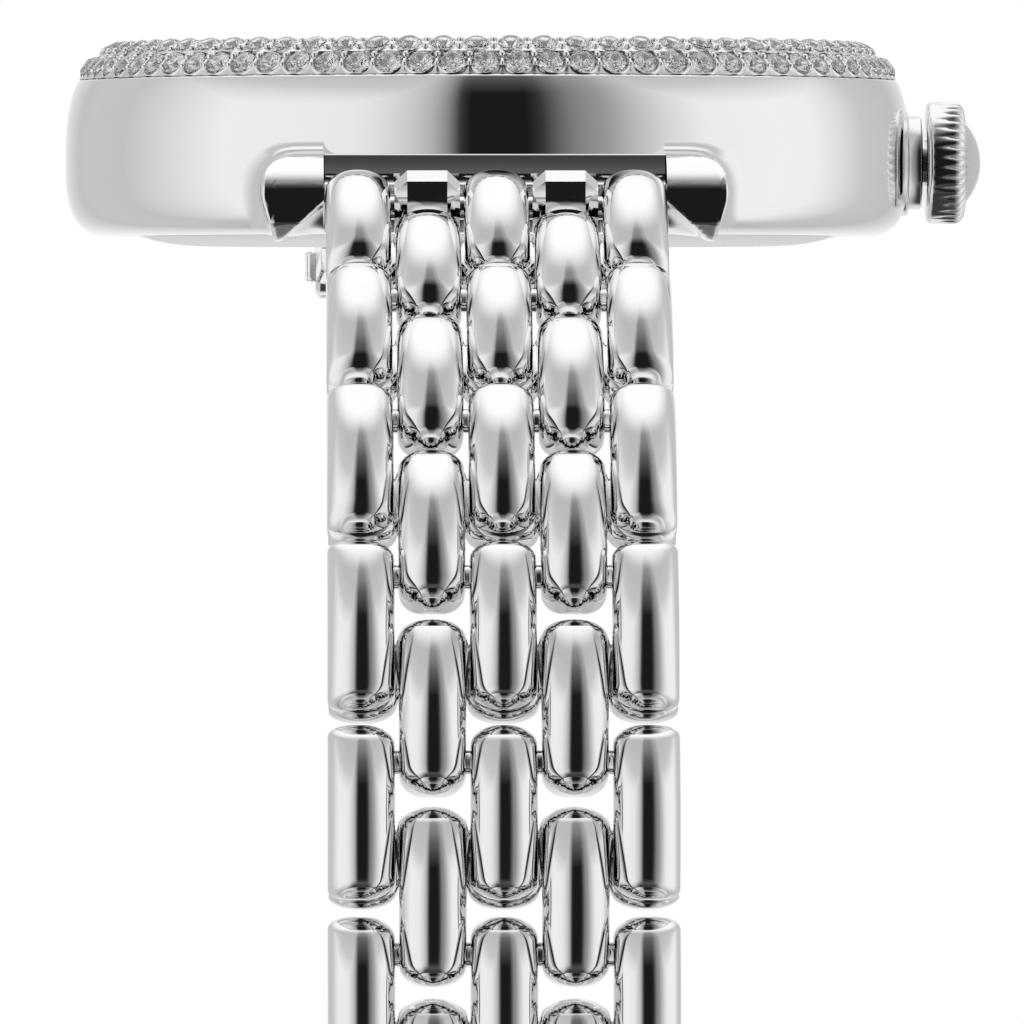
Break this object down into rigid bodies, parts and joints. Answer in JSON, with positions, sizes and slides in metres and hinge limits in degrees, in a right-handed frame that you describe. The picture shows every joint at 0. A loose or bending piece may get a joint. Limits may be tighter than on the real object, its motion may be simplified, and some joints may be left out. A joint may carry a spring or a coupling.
{
  "type": "wristwatch",
  "caption": "Round steel wristwatch with a stone-set bezel, knurled crown and an unfastened five-row link bracelet with a push-button box clasp.",
  "frame": {"origin": "centre of the case back's outer face", "axes": "+Z out of the dial, +X at 3 o'clock towards the crown, -Y at 6 o'clock"},
  "size_m": [0.0358, 0.1388, 0.0748],
  "materials": {
    "case_steel": "polished stainless steel",
    "bracelet_steel": "polished stainless steel",
    "clasp_steel": "polished stainless steel",
    "crown_steel": "polished stainless steel, knurled rim",
    "satin_steel": "circular satin brushing",
    "crown_cap": "fine bead-blasted dome",
    "stone": "clear faceted stones",
    "crystal_glass": "clear mineral glass",
    "dial_pearl": "pearly white dial",
    "hand_steel": "polished",
    "gilt_brass": "gilt",
    "movement_brass": "gilt plate",
    "battery_steel": "plain",
    "holder_plastic": "moulded",
    "white_gasket": "moulded",
    "black_gasket": "moulded"
  },
  "bodies": {
    "case": {"case": "case_steel", "bezel": "case_steel", "outer_stones": "stone", "inner_stones": "stone", "crystal": "crystal_glass", "crystal_gasket": "white_gasket", "inner_ring": "case_steel", "dial": "dial_pearl", "dial_markers": "hand_steel", "movement": "movement_brass", "movement_ring": "holder_plastic", "battery": "battery_steel", "battery_clip": "battery_steel", "case_back": "satin_steel", "back_gasket": "black_gasket", "crown_tube": "crown_steel", "crown_gasket": "black_gasket", "spring_bars": "satin_steel", "end_link_6": "bracelet_steel", "end_link_12": "bracelet_steel"},
    "hour": {"hour_hand": "hand_steel", "hour_wheel": "gilt_brass"},
    "minute": {"minute_hand": "hand_steel", "cannon_pinion": "gilt_brass"},
    "lever": {"setting_lever": "gilt_brass"},
    "crown": {"crown": "crown_steel", "crown_cabochon": "crown_cap", "stem": "crown_steel"},
    "link_6_1": {"link_6_1": "bracelet_steel"},
    "link_6_2": {"link_6_2": "bracelet_steel"},
    "link_6_3": {"link_6_3": "bracelet_steel"},
    "link_6_4": {"link_6_4": "bracelet_steel"},
    "link_6_5": {"link_6_5": "bracelet_steel"},
    "link_6_6": {"link_6_6": "bracelet_steel"},
    "link_6_7": {"link_6_7": "bracelet_steel"},
    "link_6_8": {"link_6_8": "bracelet_steel"},
    "link_6_9": {"link_6_9": "bracelet_steel"},
    "tongue": {"clasp_tongue": "clasp_steel"},
    "link_12_1": {"link_12_1": "bracelet_steel"},
    "link_12_2": {"link_12_2": "bracelet_steel"},
    "link_12_3": {"link_12_3": "bracelet_steel"},
    "link_12_4": {"link_12_4": "bracelet_steel"},
    "link_12_5": {"link_12_5": "bracelet_steel"},
    "link_12_6": {"link_12_6": "bracelet_steel"},
    "link_12_7": {"link_12_7": "bracelet_steel"},
    "link_12_8": {"link_12_8": "bracelet_steel"},
    "link_12_9": {"link_12_9": "bracelet_steel"},
    "box": {"clasp_box": "clasp_steel", "clasp_spring": "battery_steel"},
    "button_left": {"clasp_button_left": "clasp_steel"},
    "button_right": {"clasp_button_right": "clasp_steel"}
  },
  "joints": [
    {"name": "minute_turn", "type": "hinge", "parent": "case", "child": "minute", "pos_m": [0, 0, 0.005], "axis": [0, 0, -1], "continuous": true},
    {"name": "hour_turn", "type": "hinge", "parent": "case", "child": "hour", "pos_m": [0, 0, 0.005], "axis": [0, 0, -1], "continuous": true},
    {"name": "crown_pull", "type": "slide", "parent": "case", "child": "lever", "axis": [1, 0, 0], "range_m": [0, 0.001]},
    {"name": "crown_turn", "type": "hinge", "parent": "lever", "child": "crown", "pos_m": [0.017, 0, 0.00326], "axis": [1, 0, 0], "continuous": true},
    {"name": "hinge_6_1", "type": "hinge", "parent": "case", "child": "link_6_1", "pos_m": [0, -0.02015, 0.00133], "axis": [1, 0, 0], "range_deg": [-25, 0]},
    {"name": "hinge_6_2", "type": "hinge", "parent": "link_6_1", "child": "link_6_2", "pos_m": [0, -0.02624, -0.00218], "axis": [1, 0, 0], "range_deg": [-21.5, 0]},
    {"name": "hinge_6_3", "type": "hinge", "parent": "link_6_2", "child": "link_6_3", "pos_m": [0, -0.03166, -0.00666], "axis": [1, 0, 0], "range_deg": [-26.5, 0]},
    {"name": "hinge_6_4", "type": "hinge", "parent": "link_6_3", "child": "link_6_4", "pos_m": [0, -0.03579, -0.01234], "axis": [1, 0, 0], "range_deg": [-31, 0]},
    {"name": "hinge_6_5", "type": "hinge", "parent": "link_6_4", "child": "link_6_5", "pos_m": [0, -0.03785, -0.01907], "axis": [1, 0, 0], "range_deg": [-23, 0]},
    {"name": "hinge_6_6", "type": "hinge", "parent": "link_6_5", "child": "link_6_6", "pos_m": [0, -0.03859, -0.02606], "axis": [1, 0, 0], "range_deg": [-18, 18]},
    {"name": "hinge_6_7", "type": "hinge", "parent": "link_6_6", "child": "link_6_7", "pos_m": [0, -0.03859, -0.03309], "axis": [1, 0, 0], "range_deg": [-12, 18]},
    {"name": "hinge_6_8", "type": "hinge", "parent": "link_6_7", "child": "link_6_8", "pos_m": [0, -0.03859, -0.04012], "axis": [1, 0, 0], "range_deg": [-12, 18]},
    {"name": "hinge_6_9", "type": "hinge", "parent": "link_6_8", "child": "link_6_9", "pos_m": [0, -0.03859, -0.04715], "axis": [1, 0, 0], "range_deg": [-12, 18]},
    {"name": "hinge_6_clasp", "type": "hinge", "parent": "link_6_9", "child": "tongue", "pos_m": [0, -0.03859, -0.05418], "axis": [1, 0, 0], "range_deg": [-12, 18]},
    {"name": "hinge_12_1", "type": "hinge", "parent": "case", "child": "link_12_1", "pos_m": [0, 0.02015, 0.00133], "axis": [-1, 0, 0], "range_deg": [-6.5, 18.5]},
    {"name": "hinge_12_2", "type": "hinge", "parent": "link_12_1", "child": "link_12_2", "pos_m": [0, 0.02704, -0.00007], "axis": [-1, 0, 0], "range_deg": [-0.8, 20.7]},
    {"name": "hinge_12_3", "type": "hinge", "parent": "link_12_2", "child": "link_12_3", "pos_m": [0, 0.03407, -0.00011], "axis": [-1, 0, 0], "range_deg": [-12, 14.5]},
    {"name": "hinge_12_4", "type": "hinge", "parent": "link_12_3", "child": "link_12_4", "pos_m": [0, 0.0411, -0.00015], "axis": [-1, 0, 0], "range_deg": [-12, 19]},
    {"name": "hinge_12_5", "type": "hinge", "parent": "link_12_4", "child": "link_12_5", "pos_m": [0, 0.04813, -0.00018], "axis": [-1, 0, 0], "range_deg": [-12, 11]},
    {"name": "hinge_12_6", "type": "hinge", "parent": "link_12_5", "child": "link_12_6", "pos_m": [0, 0.05516, -0.00022], "axis": [-1, 0, 0], "range_deg": [-12, 24]},
    {"name": "hinge_12_7", "type": "hinge", "parent": "link_12_6", "child": "link_12_7", "pos_m": [0, 0.06219, -0.00026], "axis": [-1, 0, 0], "range_deg": [-12, 18]},
    {"name": "hinge_12_8", "type": "hinge", "parent": "link_12_7", "child": "link_12_8", "pos_m": [0, 0.06922, -0.00029], "axis": [-1, 0, 0], "range_deg": [-12, 18]},
    {"name": "hinge_12_9", "type": "hinge", "parent": "link_12_8", "child": "link_12_9", "pos_m": [0, 0.07625, -0.00033], "axis": [-1, 0, 0], "range_deg": [-12, 18]},
    {"name": "hinge_12_clasp", "type": "hinge", "parent": "link_12_9", "child": "box", "pos_m": [0, 0.08328, -0.00037], "axis": [-1, 0, 0], "range_deg": [-12, 18]},
    {"name": "button_left_press", "type": "slide", "parent": "box", "child": "button_left", "axis": [1, 0, 0], "range_m": [0, 0.00045], "stiffness_N_per_m": 150, "springref_m": -0.001, "deforming": ["clasp_spring"]},
    {"name": "button_right_press", "type": "slide", "parent": "box", "child": "button_right", "axis": [-1, 0, 0], "range_m": [0, 0.00045], "stiffness_N_per_m": 150, "springref_m": -0.001, "deforming": ["clasp_spring"]}
  ],
  "couplings": [
    {"joint": "hour_turn", "follows": "minute_turn", "ratio": 0.083333}
  ]
}
